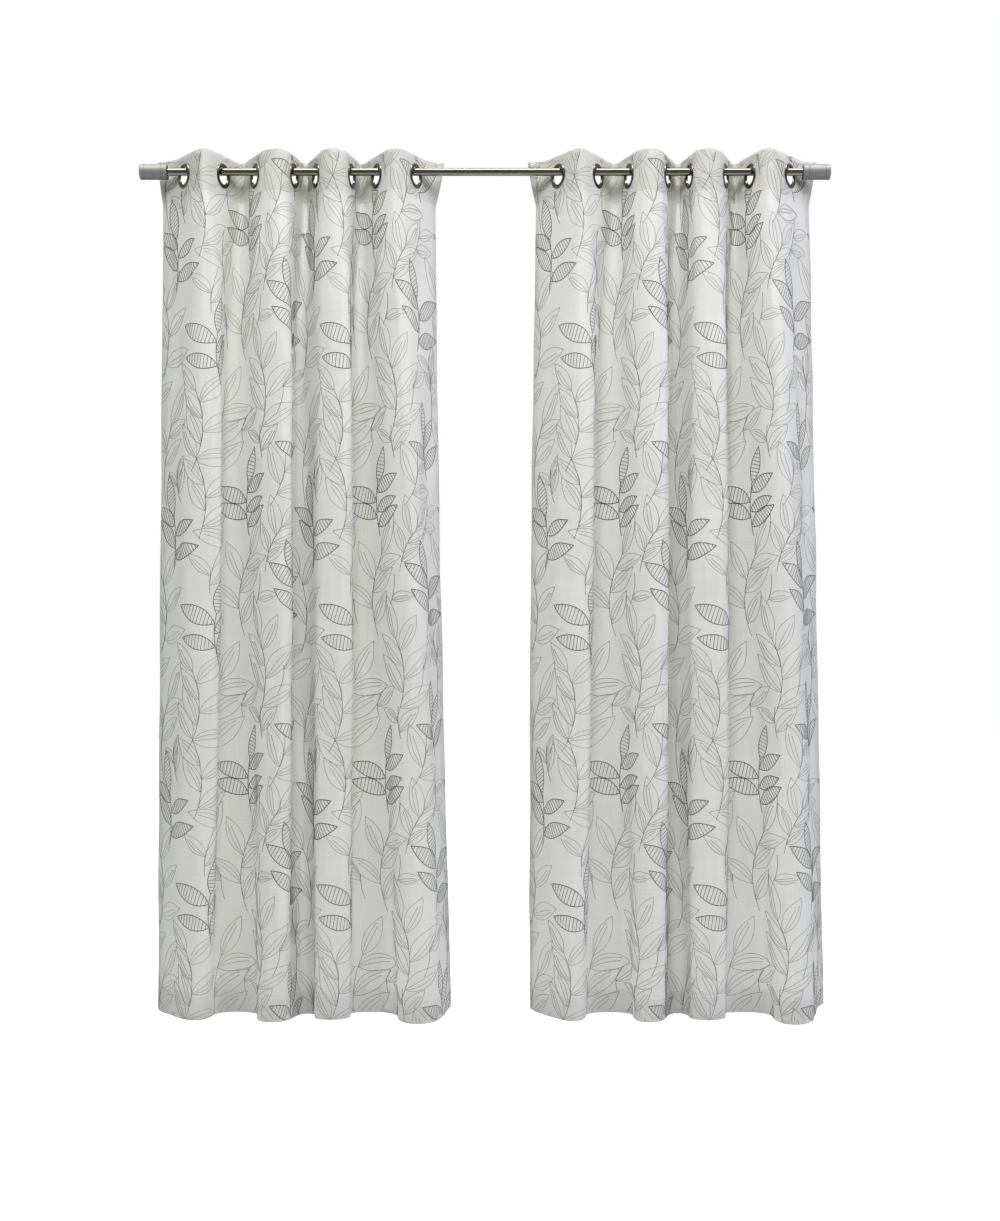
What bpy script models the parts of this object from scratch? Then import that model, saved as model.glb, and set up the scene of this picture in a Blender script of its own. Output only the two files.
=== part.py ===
"""Pair of voile eyelet curtains hanging from one round rod with cylinder finials.

Metres, +Z up. +X runs along the rod and the viewer stands on the -Y side. The origin is on
the rod's axis at mid-length. Each panel is one width of cloth that weaves in front of and
behind the rod through eight eyelets.
"""

import math
from collections import namedtuple

import bmesh
import bpy
from mathutils import Matrix, Vector

MM = 0.001
GAP = 0.3 * MM  # between pieces that touch on the real product

# Cloth panel, as cut and hemmed: 54 x 84 inches
PANEL_WIDTH = 1371.6 * MM
PANEL_LENGTH = 2134 * MM
CLOTH_THICK = 1.5 * MM
SIDE_MARGIN = 100 * MM  # from the side hem to the first eyelet's centre
TOP_Z = 40 * MM  # top edge above the rod's axis
HEADING_DEPTH = 105 * MM  # the stiffened heading that holds the eyelets

# Rod and finials
ROD_RADIUS = 9.5 * MM
ROD_LENGTH = 1624 * MM
ROD_SIDES = 24
FINIAL_RADIUS = 19 * MM
FINIAL_LENGTH = 67 * MM
SOCKET_DEPTH = 25 * MM
FINIAL_COLLAR = 13 * MM  # from the inner end to the first groove
FINIAL_BAND = 12 * MM  # from the second groove to the outer end
FINIAL_GROOVE = 0.8 * MM
FINIAL_CHAMFER = 1.3 * MM
FINIAL_STEPS = 24

# Eyelets, front and back ring snapped together through the cloth
EYELET_COUNT = 8
EYELET_OUTER = 30.5 * MM
EYELET_BORE = 20.5 * MM
EYELET_BARREL = 23 * MM
EYELET_CROWN = 26.5 * MM  # radius at which the ring's face is highest
EYELET_FACE = 3.3 * MM  # crown's height over the cloth's middle
EYELET_EDGE = 0.7 * MM  # thickness of a face at its outer edge
EYELET_LIP = 1.9 * MM  # half the length of the bore
EYELET_STEPS = 18
EYELET_Z = -10.1 * MM  # centre: the tilted bore hangs on top of the rod
HOLE_RADIUS = 23.6 * MM
HOLE_SIDES = 24

# How finely the hung sheet is divided
BEND_PARTS = 6  # between the flat pieces at two eyelets
MARGIN_PARTS = 4
CURVE_STEPS = 48  # along a bend while its cloth is measured
FITTING_ROUNDS = 32  # halvings of the search for a bend that takes up the right length
MARGIN_STEPS = 12  # within one part of a free margin
ROWS_MM = (0, 105, 220, 400, 650, 950, 1280, 1600, 1880, 2134)  # down the cloth

# One row for each eyelet, from left to right. x is where the cloth crosses the rod's plane, in
# mm, and tilt the angle in degrees between cloth and rod there, at the heading, half way down
# and at the hem. Past 90 the cloth turns under itself.
Fold = namedtuple("Fold", "heading_x heading_tilt middle_x middle_tilt hem_x hem_tilt")
LEFT_FOLDS = (
    Fold(-745, 52, -760, 56, -776, 56),
    Fold(-649, 68, -658, 108, -676, 84),
    Fold(-569, 61, -566, 58, -564, 84),
    Fold(-474, 77, -482, 108, -480, 84),
    Fold(-418, 68, -422, 66, -420, 92),
    Fold(-331.5, 78, -333, 110, -334, 98),
    Fold(-268, 62, -244, 56, -216, 84),
    Fold(-172, 64, -141, 80, -108, 76),
)
RIGHT_FOLDS = (
    Fold(181.5, 57, 164, 62, 155, 62),
    Fold(279, 61, 262, 98, 250, 78),
    Fold(357, 72, 358, 66, 366, 90),
    Fold(451, 69, 449, 98, 447, 80),
    Fold(507, 78, 504, 76, 507, 94),
    Fold(595, 69, 597, 100, 593, 92),
    Fold(657, 72, 684, 64, 712, 86),
    Fold(754.5, 54, 788, 70, 817, 74),
)

# How steeply the free side edges run back from the rod's line, in degrees
Ends = namedtuple("Ends", "corner neck middle hem")
LEFT_ENDS = (Ends(6, 40, 45, 64), Ends(4, 62, 60, 80))
RIGHT_ENDS = (Ends(2, 62, 58, 72), Ends(2, 46, 40, 52))

# How far the hem is lifted, in mm, at the left edge, at each fold from left to right (front
# and back by turns) and at the right edge
LEFT_HEM_LIFT = (0, 8, 2, 4, -8, 9, 3, -3, 6)
RIGHT_HEM_LIFT = (0, 7, 2, 4, -7, 8, 3, -4, 12)

PITCH = (PANEL_WIDTH - 2 * SIDE_MARGIN) / (EYELET_COUNT - 1)
FLAT_HEADING = 33 * MM  # cloth lies flat this far to each side of an eyelet's centre
FLAT_MIDDLE = 14 * MM
FLAT_HEM = 10 * MM

Crossing = namedtuple("Crossing", "place along")


def material(name, colour, roughness, metallic):
    made = bpy.data.materials.new(name)
    made.use_nodes = True
    shader = made.node_tree.nodes["Principled BSDF"]
    shader.inputs["Base Color"].default_value = (*colour, 1)
    shader.inputs["Roughness"].default_value = roughness
    shader.inputs["Metallic"].default_value = metallic
    made.diffuse_color = (*colour, 1)
    return made


def collection(name):
    made = bpy.data.collections.new(name)
    bpy.context.scene.collection.children.link(made)
    return made


def add_object(name, mesh, home, look):
    made = bpy.data.objects.new(name, mesh)
    mesh.materials.append(look)
    home.objects.link(made)
    return made


# ---- The hung sheet: a plan section at each height, lofted down the cloth


def between(neck, middle, hem, share):
    """A smooth value that passes through three levels, at shares 0, 1/2 and 1 of the way."""
    return (
        neck * (1 - share) * (1 - 2 * share)
        + middle * 4 * share * (1 - share)
        + hem * share * (2 * share - 1)
    )


def share_below_neck(drop):
    return max(0.0, (drop - HEADING_DEPTH) / (PANEL_LENGTH - HEADING_DEPTH))


def crossings(folds, drop):
    """Where the cloth crosses the rod's plane this far down, and its direction there."""
    share = share_below_neck(drop)
    found = []
    for number, fold in enumerate(folds):
        x = between(fold.heading_x, fold.middle_x, fold.hem_x, share) * MM
        tilt = math.radians(between(fold.heading_tilt, fold.middle_tilt, fold.hem_tilt, share))
        side = -1 if number % 2 == 0 else 1  # towards the viewer, then away, by turns
        along = Vector((math.cos(tilt), side * math.sin(tilt)))
        found.append(Crossing(Vector((x, 0)), along))
    return found


def end_angle(ends, drop):
    if drop < HEADING_DEPTH:
        share = drop / HEADING_DEPTH
        return math.radians(ends.corner + (ends.neck - ends.corner) * share)
    return math.radians(between(ends.neck, ends.middle, ends.hem, share_below_neck(drop)))


def spline_points(start, leave, arrive, end):
    found = []
    for step in range(CURVE_STEPS + 1):
        t = step / CURVE_STEPS
        near = start * (1 - t) ** 3 + leave * 3 * t * (1 - t) ** 2
        far = arrive * 3 * t * t * (1 - t) + end * t**3
        found.append(near + far)
    return found


def path_length(points):
    return sum((b - a).length for a, b in zip(points, points[1:]))


def bend(start, leaving, end, arriving, cloth):
    """The fold between two flat pieces: the curve that takes up exactly this much cloth."""
    low, high = 0.0, 3 * cloth
    for _ in range(FITTING_ROUNDS):
        reach = (low + high) / 2
        points = spline_points(start, start + leaving * reach, end - arriving * reach, end)
        if path_length(points) < cloth:
            low = reach
        else:
            high = reach
    return points


def evenly_along(points, parts):
    """Points at equal lengths of cloth along a path, its own first point left out."""
    total, walked, found, index = path_length(points), 0.0, [], 0
    for part in range(1, parts + 1):
        wanted = total * part / parts
        while index < len(points) - 2 and walked + (points[index + 1] - points[index]).length < wanted:
            walked += (points[index + 1] - points[index]).length
            index += 1
        step = points[index + 1] - points[index]
        found.append(points[index] + step * min(1.0, (wanted - walked) / step.length))
    return found


def free_margin(crossing, outwards, angle, cloth, parts):
    """From an end eyelet's flat piece to the side edge, turning evenly to the edge's angle."""
    direction = crossing.along * outwards
    first = math.atan2(direction.y, direction.x)
    last = angle if outwards > 0 else math.pi - angle
    place, found = crossing.place + direction * FLAT_HEADING, []
    steps = parts * MARGIN_STEPS
    for step in range(steps):
        heading = first + (last - first) * (step + 0.5) / steps
        place = place + Vector((math.cos(heading), math.sin(heading))) * cloth / steps
        if step % MARGIN_STEPS == MARGIN_STEPS - 1:
            found.append(place)
    return found


def plan_section(folds, ends, drop):
    """The sheet in plan this far down the cloth, from its left edge to its right edge."""
    found = crossings(folds, drop)
    flat = between(FLAT_HEADING, FLAT_MIDDLE, FLAT_HEM, share_below_neck(drop))
    margin = SIDE_MARGIN - FLAT_HEADING
    first, last = found[0], found[-1]
    points = free_margin(first, -1, end_angle(ends[0], drop), margin, MARGIN_PARTS)[::-1]
    points += [first.place - first.along * FLAT_HEADING, first.place]
    for one, other in zip(found, found[1:]):
        start, end = one.place + one.along * flat, other.place - other.along * flat
        curve = bend(start, one.along, end, other.along, PITCH - 2 * flat)
        points += [start] + evenly_along(curve, BEND_PARTS) + [other.place]
    points.append(last.place + last.along * FLAT_HEADING)
    return points + free_margin(last, 1, end_angle(ends[1], drop), margin, MARGIN_PARTS)


def eased(values, position):
    """A value between the listed ones at a position of 0 to 1, with soft turns at each."""
    place = position * (len(values) - 1)
    index = min(int(place), len(values) - 2)
    turn = (1 - math.cos(math.pi * (place - index))) / 2
    return values[index] + (values[index + 1] - values[index]) * turn


def hung_sheet(name, folds, ends, hem_lift, home, look):
    rows = []
    for drop in (down * MM for down in ROWS_MM):
        section = plan_section(folds, ends, drop)
        near_hem = (drop / PANEL_LENGTH) ** 3
        row = []
        for column, point in enumerate(section):
            lift = eased(hem_lift, column / (len(section) - 1)) * MM * near_hem
            row.append((point.x, point.y, TOP_Z - drop + lift))
        rows.append(row)
    width = len(rows[0])
    faces = [
        (r * width + c, (r + 1) * width + c, (r + 1) * width + c + 1, r * width + c + 1)
        for r in range(len(rows) - 1)
        for c in range(width - 1)
    ]
    mesh = bpy.data.meshes.new(name)
    mesh.from_pydata([point for row in rows for point in row], [], faces)
    sheet = add_object(name, mesh, home, look)
    thickness = sheet.modifiers.new("thickness", "SOLIDIFY")
    thickness.thickness = CLOTH_THICK
    thickness.offset = 0
    thickness.use_even_offset = True
    mesh.shade_smooth()
    return sheet


def punch_holes(sheet, cutters):
    holes = sheet.modifiers.new("eyelet_holes", "BOOLEAN")
    holes.operation = "DIFFERENCE"
    holes.operand_type = "COLLECTION"
    holes.collection = cutters
    holes.solver = "EXACT"


# ---- Turned pieces


def turned(name, outline, steps, home, look, closed=False):
    """A profile in the XZ plane, given down its outer side, turned about Z."""
    edges = [(i, i + 1) for i in range(len(outline) - 1)]
    if closed:
        edges.append((len(outline) - 1, 0))
    mesh = bpy.data.meshes.new(name)
    mesh.from_pydata([(radius, 0, height) for radius, height in outline], edges, [])
    made = add_object(name, mesh, home, look)
    screw = made.modifiers.new("turned", "SCREW")
    screw.steps = screw.render_steps = steps
    screw.use_merge_vertices = True
    screw.merge_threshold = 0.00001
    screw.use_smooth_shade = True
    return made


def eyelet_outline():
    """Cross-section of the snapped eyelet: two faces, the bore and the groove for the cloth."""
    groove = CLOTH_THICK / 2 + GAP
    edge = groove + EYELET_EDGE
    return [
        (EYELET_CROWN, EYELET_FACE),
        (EYELET_OUTER, edge),
        (EYELET_OUTER, groove),
        (EYELET_BARREL, groove),
        (EYELET_BARREL, -groove),
        (EYELET_OUTER, -groove),
        (EYELET_OUTER, -edge),
        (EYELET_CROWN, -EYELET_FACE),
        (EYELET_BORE, -EYELET_LIP),
        (EYELET_BORE, EYELET_LIP),
    ]


def finial_outline():
    """Plain cylinder with a collar and an end band, both marked by a shallow groove."""
    bore = ROD_RADIUS + GAP
    end = FINIAL_RADIUS - FINIAL_CHAMFER
    outline = [(0, FINIAL_LENGTH), (end, FINIAL_LENGTH)]
    outline.append((FINIAL_RADIUS, FINIAL_LENGTH - FINIAL_CHAMFER))
    for mark in (FINIAL_LENGTH - FINIAL_BAND, FINIAL_COLLAR):
        outline += [
            (FINIAL_RADIUS, mark + FINIAL_GROOVE),
            (FINIAL_RADIUS - FINIAL_GROOVE, mark),
            (FINIAL_RADIUS, mark - FINIAL_GROOVE),
        ]
    outline += [(FINIAL_RADIUS, FINIAL_CHAMFER), (end, 0), (bore, 0)]
    return outline + [(bore, SOCKET_DEPTH + GAP), (0, SOCKET_DEPTH + GAP)]


def add_finials(home, look):
    inner_end = ROD_LENGTH / 2 - SOCKET_DEPTH
    for name, side in (("finial_left", -1), ("finial_right", 1)):
        finial = turned(name, finial_outline(), FINIAL_STEPS, home, look)
        finial.rotation_euler = (0, side * math.pi / 2, 0)
        finial.location = (side * inner_end, 0, 0)


def add_rod(home, look):
    shape = bmesh.new()
    bmesh.ops.create_cone(
        shape,
        cap_ends=True,
        segments=ROD_SIDES,
        radius1=ROD_RADIUS,
        radius2=ROD_RADIUS,
        depth=ROD_LENGTH,
        matrix=Matrix.Rotation(math.pi / 2, 4, "Y"),
    )
    mesh = bpy.data.meshes.new("rod")
    shape.to_mesh(mesh)
    shape.free()
    mesh.shade_smooth()
    mesh.set_sharp_from_angle(angle=math.radians(40))
    add_object("rod", mesh, home, look)


def facing(crossing):
    """Turn that points local Z out of the cloth's viewer side at an eyelet, local Y up."""
    normal = Vector((crossing.along.y, -crossing.along.x, 0)).normalized()
    sideways = Vector((0, 0, 1)).cross(normal)
    turn = Matrix((sideways, (0, 0, 1), normal)).transposed()
    return turn.to_euler()


def add_eyelets(side, folds, home, look):
    for number, crossing in enumerate(crossings(folds, 0.0), start=1):
        name = f"eyelet_{side}_{number}"
        eyelet = turned(name, eyelet_outline(), EYELET_STEPS, home, look, closed=True)
        eyelet.rotation_euler = facing(crossing)
        eyelet.location = (crossing.place.x, crossing.place.y, EYELET_Z)


def add_cutters(side, folds, home, look):
    for number, crossing in enumerate(crossings(folds, 0.0), start=1):
        shape = bmesh.new()
        bmesh.ops.create_cone(
            shape,
            cap_ends=True,
            segments=HOLE_SIDES,
            radius1=HOLE_RADIUS,
            radius2=HOLE_RADIUS,
            depth=8 * CLOTH_THICK,
        )
        mesh = bpy.data.meshes.new("hole")
        shape.to_mesh(mesh)
        shape.free()
        cutter = add_object(f"hole_{side}_{number}", mesh, home, look)
        cutter.rotation_euler = facing(crossing)
        cutter.location = (crossing.place.x, crossing.place.y, EYELET_Z)
        cutter.hide_render = True
        cutter.display_type = "WIRE"


def main():
    for old in list(bpy.data.objects):
        bpy.data.objects.remove(old)
    parts = collection("voile_eyelet_curtains_on_rod")
    cutters = collection("cutters")
    voile = material("voile", (0.80, 0.80, 0.79), 0.9, 0.0)
    dark_nickel = material("dark_nickel", (0.17, 0.17, 0.15), 0.28, 1.0)
    rod_metal = material("rod_metal", (0.20, 0.20, 0.17), 0.25, 1.0)
    finial_metal = material("finial_metal", (0.46, 0.46, 0.47), 0.4, 1.0)

    add_rod(parts, rod_metal)
    add_finials(parts, finial_metal)
    panels = (
        ("left", LEFT_FOLDS, LEFT_ENDS, LEFT_HEM_LIFT),
        ("right", RIGHT_FOLDS, RIGHT_ENDS, RIGHT_HEM_LIFT),
    )
    for side, folds, ends, hem_lift in panels:
        add_cutters(side, folds, cutters, dark_nickel)
        add_eyelets(side, folds, parts, dark_nickel)
        sheet = hung_sheet(f"curtain_{side}", folds, ends, hem_lift, parts, voile)
        punch_holes(sheet, cutters)


main()
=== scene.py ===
"""Pair of voile eyelet curtains on one rod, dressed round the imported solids.

Metres, +Z up, in the solids' own frame: +X along the rod, the viewer on the -Y side, the origin
on the rod's axis at mid-length. On the cloth, u is the distance from a panel's left side edge
and v the distance down from its top edge, both in millimetres.
"""

import math
import random
from collections import namedtuple

import bpy
import numpy as np
from mathutils import Matrix, Vector


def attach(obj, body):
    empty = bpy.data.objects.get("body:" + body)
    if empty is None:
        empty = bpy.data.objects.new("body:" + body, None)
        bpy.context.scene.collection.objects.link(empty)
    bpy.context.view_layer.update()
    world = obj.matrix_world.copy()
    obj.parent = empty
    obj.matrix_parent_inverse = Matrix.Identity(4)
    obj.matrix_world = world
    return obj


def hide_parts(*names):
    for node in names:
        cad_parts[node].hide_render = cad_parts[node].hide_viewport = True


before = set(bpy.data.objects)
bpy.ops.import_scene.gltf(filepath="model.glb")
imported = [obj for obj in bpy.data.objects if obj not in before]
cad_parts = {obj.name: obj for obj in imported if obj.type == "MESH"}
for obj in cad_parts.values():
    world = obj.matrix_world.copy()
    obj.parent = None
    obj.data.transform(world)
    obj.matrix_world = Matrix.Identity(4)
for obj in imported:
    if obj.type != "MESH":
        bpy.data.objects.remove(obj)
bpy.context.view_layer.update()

MM = 0.001

# ---- Sizes of the construction, in mm

PANEL_WIDTH = 1371.6
PANEL_LENGTH = 2134.0
SIDE_MARGIN = 100.0  # from the side edge to the first eyelet's centre
TOP_Z = 40.0  # top edge above the rod's axis
HEADING_DEPTH = 105.0
EYELET_COUNT = 8
EYELET_Z = -10.1
EYELET_OUTER = 30.5
EYELET_BORE = 20.5
EYELET_BARREL = 23.0
EYELET_GROOVE = 1.05  # half the slot that holds the cloth
ROD_RADIUS = 9.5
ROD_LENGTH = 1624.0
FINIAL_RADIUS = 19.0
FINIAL_LENGTH = 67.0
SOCKET_DEPTH = 25.0
SOCKET_RADIUS = 9.8

PITCH = (PANEL_WIDTH - 2 * SIDE_MARGIN) / (EYELET_COUNT - 1)
EYELET_V = TOP_Z - EYELET_Z
FLAT_HEADING = 33.0  # cloth lies flat this far to each side of an eyelet's centre
FLAT_MIDDLE = 14.0
FLAT_HEM = 10.0

# ---- Cloth

SIDE_HEM = 25.0
BOTTOM_HEM = 62.0
CLOTH_THICK = 0.4
LAYER_STEP = 0.3  # the two layers of a hem lie this far to each side of the solid's middle
CORNER_STEP = 0.6  # from layer to layer where a side hem is turned in with the heading or hem
FOLD_REACH = 0.4  # how far a turned edge rounds past the layers
COLUMNS = 200
HEADING_ROWS = 14
BODY_ROWS = 98
HEM_ROWS = 5
HOLE_RADIUS = 24.2  # the cloth's hole, hidden under the eyelet's two faces
CURVE_STEPS = 48
FITTING_ROUNDS = 32

# One row for each eyelet, from left to right. x is where the cloth crosses the rod's plane and
# tilt the angle in degrees between cloth and rod there, at the heading, half way down and at
# the hem. Past 90 the cloth turns under itself.
Fold = namedtuple("Fold", "heading_x heading_tilt middle_x middle_tilt hem_x hem_tilt")
LEFT_FOLDS = (
    Fold(-745, 52, -760, 56, -776, 56),
    Fold(-649, 68, -658, 108, -676, 84),
    Fold(-569, 61, -566, 58, -564, 84),
    Fold(-474, 77, -482, 108, -480, 84),
    Fold(-418, 68, -422, 66, -420, 92),
    Fold(-331.5, 78, -333, 110, -334, 98),
    Fold(-268, 62, -244, 56, -216, 84),
    Fold(-172, 64, -141, 80, -108, 76),
)
RIGHT_FOLDS = (
    Fold(181.5, 57, 164, 62, 155, 62),
    Fold(279, 61, 262, 98, 250, 78),
    Fold(357, 72, 358, 66, 366, 90),
    Fold(451, 69, 449, 98, 447, 80),
    Fold(507, 78, 504, 76, 507, 94),
    Fold(595, 69, 597, 100, 593, 92),
    Fold(657, 72, 684, 64, 712, 86),
    Fold(754.5, 54, 788, 70, 817, 74),
)
# One row for each side edge of a panel, left then right: the angle in degrees between the rod
# and the cloth that runs out to the edge, at the top corner, below the heading, half way down
# and at the hem
Ends = namedtuple("Ends", "corner neck middle hem")
LEFT_ENDS = (Ends(6, 40, 45, 64), Ends(4, 62, 60, 80))
RIGHT_ENDS = (Ends(2, 62, 58, 72), Ends(2, 46, 40, 52))
# How far the hem is drawn up, or let down below zero, at even steps across the panel
LEFT_HEM_LIFT = (0, 8, 2, 4, -8, 9, 3, -3, 6)
RIGHT_HEM_LIFT = (0, 7, 2, 4, -7, 8, 3, -4, 12)

# Soft ridges and troughs in the cloth: where each starts and ends, its width across and how far
# it stands towards the viewer (or, below zero, away)
Crease = namedtuple("Crease", "u_top v_top u_low v_low width height")
LEFT_CREASES = (
    Crease(66, 120, 40, 900, 16, 2.2),
    Crease(150, 90, 168, 620, 18, 1.8),
    Crease(196, 110, 206, 480, 12, -1.6),
    Crease(236, 150, 214, 1300, 20, 1.9),
    Crease(330, 100, 352, 760, 15, 1.7),
    Crease(402, 130, 388, 540, 12, -1.4),
    Crease(470, 420, 455, 1900, 22, 2.0),
    Crease(545, 110, 528, 700, 14, 1.5),
    Crease(640, 300, 668, 1500, 20, -1.8),
    Crease(735, 100, 716, 640, 14, 1.6),
    Crease(792, 700, 806, 2060, 24, 2.1),
    Crease(868, 110, 884, 820, 15, 1.7),
    Crease(948, 160, 930, 1200, 18, -1.6),
    Crease(1062, 110, 1040, 700, 16, 1.9),
    Crease(1118, 130, 1150, 1400, 22, 2.2),
    Crease(1196, 100, 1214, 900, 16, -1.8),
    Crease(1316, 120, 1338, 1250, 18, 2.0),
)
RIGHT_CREASES = (
    Crease(58, 110, 36, 1100, 18, 2.0),
    Crease(146, 110, 160, 700, 16, -1.7),
    Crease(222, 130, 240, 1250, 20, 2.0),
    Crease(318, 100, 300, 560, 14, 1.6),
    Crease(372, 220, 392, 1500, 20, -1.8),
    Crease(486, 110, 470, 820, 16, 1.8),
    Crease(560, 140, 582, 1150, 18, 1.6),
    Crease(654, 100, 636, 640, 14, -1.5),
    Crease(718, 500, 742, 2050, 24, 2.1),
    Crease(822, 110, 806, 760, 15, 1.6),
    Crease(886, 140, 902, 1350, 20, -1.7),
    Crease(984, 110, 1002, 680, 14, 1.7),
    Crease(1066, 300, 1040, 1800, 22, 2.0),
    Crease(1150, 110, 1172, 900, 16, -1.8),
    Crease(1240, 120, 1262, 1200, 18, 1.9),
    Crease(1322, 110, 1336, 760, 16, 1.8),
)
RIPPLE_COUNT = 9  # slow waves that keep the cloth from lying too smooth
RIPPLE_HEIGHT = 0.34
RIPPLE_WIDTHS = (55, 190)
RIPPLE_LENGTHS = (180, 620)
LEFT_SEED, RIGHT_SEED = 11, 29
HEM_PUCKER = 0.5  # small gathers along the hems' stitching
PUCKER_PITCH = 23.0
PUCKER_REACH = 14.0  # above and below the stitching
RELIEF_CLEAR = (36, 80)  # flat up to this far from an eyelet's centre, in full relief past that

# ---- Embroidery: sprigs of leaves, set out in a unit that repeats over the cloth

UNIT = np.array((PANEL_WIDTH / 2, 690.0))
PLAIN, LADDER = "plain", "ladder"
PALE, DARK, SEWING = "pale", "dark", "sewing"
# foot of the stem from the unit's top left corner; lean, degrees from upright at the foot;
# bow, how far the stem turns along its length; leaves at most, and their length. A sprig grows
# round those listed before it: its leaves are left out where there is no room for them.
Sprig = namedtuple("Sprig", "u v lean bow length leaves leaf kind")
SPRIGS = (
    Sprig(70, 330, 14, -30, 130, 5, 100, LADDER),
    Sprig(236, 574, -26, 40, 132, 5, 102, LADDER),
    Sprig(398, 250, -16, 30, 134, 6, 98, LADDER),
    Sprig(566, 486, 26, -44, 132, 5, 104, LADDER),
    Sprig(610, 110, -24, 20, 100, 4, 98, LADDER),
    Sprig(28, 176, -20, 50, 210, 6, 114, PLAIN),
    Sprig(10, 540, 26, -56, 204, 6, 116, PLAIN),
    Sprig(150, 96, 34, -60, 208, 6, 112, PLAIN),
    Sprig(176, 262, 22, -50, 206, 6, 112, PLAIN),
    Sprig(290, 346, -30, 60, 210, 6, 114, PLAIN),
    Sprig(292, 126, -18, 46, 212, 6, 116, PLAIN),
    Sprig(380, 500, -24, 60, 214, 6, 112, PLAIN),
    Sprig(456, 702, 32, -62, 206, 6, 114, PLAIN),
    Sprig(500, 180, 36, -50, 180, 6, 110, PLAIN),
    Sprig(668, 570, -46, 50, 90, 4, 104, PLAIN),
    Sprig(560, 250, 50, -50, 110, 5, 96, PLAIN),
    Sprig(440, 420, 40, -50, 80, 4, 92, PLAIN),
    Sprig(470, 60, -20, 30, 80, 4, 86, PLAIN),
    Sprig(520, 640, 30, -40, 80, 4, 86, PLAIN),
    Sprig(206, 400, -6, 40, 130, 5, 96, PLAIN),
    Sprig(372, 700, -10, 40, 120, 5, 96, PLAIN),
    Sprig(650, 640, 10, -30, 150, 5, 96, PLAIN),
    Sprig(480, 340, 10, 30, 120, 5, 92, PLAIN),
    Sprig(320, 470, -20, 40, 110, 5, 92, PLAIN),
    Sprig(110, 170, -40, 50, 90, 4, 92, PLAIN),
)
LEAF_WIDTH_SHARE = 0.37
LEAF_STEPS = 14
LEAF_TRIES = 10
CROWDING = 0.74  # below 1, leaves may lie a little over each other
RUNG_PITCH = 8.6
RUNG_SLOPE = 0.16
STEM_STEP = 8.0
PLAIN_SPREAD = 46  # degrees from stem to leaf
LADDER_SPREAD = 56
THREAD_CLEAR = 33.0  # threads stop this far from an eyelet's centre
PLAIN_WIDTH = 1.1  # of the laid thread
STEM_WIDTH = 1.1
LADDER_WIDTH = 1.85
RUNG_WIDTH = 1.35
STITCH_WIDTH = 1.1
THREAD_HEIGHT = 1.7
THREAD_LIFT = 0.5  # of its middle above the middle of the cloth
STITCH_HEIGHT = 1.7
THREAD_RISE = 0.7  # the flat face's share of the way up from the middle of the cloth
STITCH_LENGTH = 3.2
STITCH_PITCH = 4.4
COLUMN_CLEAR = 0.4  # no spot is added to a line this near to one that it has
EMBROIDERY_SEED = 5

ROD_STEPS, FINIAL_STEPS, EYELET_STEPS = 64, 72, 48  # round a full turn


# ---- The hung cloth


def between(neck, middle, hem, share):
    """A smooth value that passes through three levels, at shares 0, 1/2 and 1 of the way."""
    return (
        neck * (1 - share) * (1 - 2 * share)
        + middle * 4 * share * (1 - share)
        + hem * share * (2 * share - 1)
    )


def share_below_neck(drop):
    return max(0.0, (drop - HEADING_DEPTH) / (PANEL_LENGTH - HEADING_DEPTH))


def crossings(folds, drop):
    """Where the cloth crosses the rod's plane this far down, and its direction there."""
    share = share_below_neck(drop)
    found = []
    for number, fold in enumerate(folds):
        x = between(fold.heading_x, fold.middle_x, fold.hem_x, share)
        tilt = math.radians(between(fold.heading_tilt, fold.middle_tilt, fold.hem_tilt, share))
        side = -1 if number % 2 == 0 else 1  # towards the viewer, then away, by turns
        found.append((np.array((x, 0.0)), np.array((math.cos(tilt), side * math.sin(tilt)))))
    return found


def end_angle(ends, drop):
    if drop < HEADING_DEPTH:
        share = drop / HEADING_DEPTH
        return math.radians(ends.corner + (ends.neck - ends.corner) * share)
    return math.radians(between(ends.neck, ends.middle, ends.hem, share_below_neck(drop)))


def walked(points):
    """Length of the path up to each of its points."""
    steps = np.linalg.norm(np.diff(points, axis=0), axis=1)
    return np.concatenate(([0.0], np.cumsum(steps)))


def bend(start, leaving, end, arriving, cloth):
    """The fold between two flat pieces: the curve that takes up exactly this much cloth."""
    t = np.linspace(0, 1, CURVE_STEPS + 1)[:, None]
    low, high = 0.0, 3 * cloth
    for _ in range(FITTING_ROUNDS):
        reach = (low + high) / 2
        near = start * (1 - t) ** 3 + (start + leaving * reach) * 3 * t * (1 - t) ** 2
        far = (end - arriving * reach) * 3 * t * t * (1 - t) + end * t**3
        points = near + far
        if walked(points)[-1] < cloth:
            low = reach
        else:
            high = reach
    return points


def free_margin(place, along, outwards, angle):
    """From an end eyelet's flat piece to the side edge, turning evenly to the edge's angle."""
    direction = along * outwards
    first = math.atan2(direction[1], direction[0])
    last = angle if outwards > 0 else math.pi - angle
    step = (SIDE_MARGIN - FLAT_HEADING) / CURVE_STEPS
    middle = (np.arange(CURVE_STEPS) + 0.5) / CURVE_STEPS
    heading = first + (last - first) * middle
    steps = np.stack((np.cos(heading), np.sin(heading)), axis=1) * step
    start = place + direction * FLAT_HEADING
    return np.concatenate(([start], start + np.cumsum(steps, axis=0)))


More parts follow.
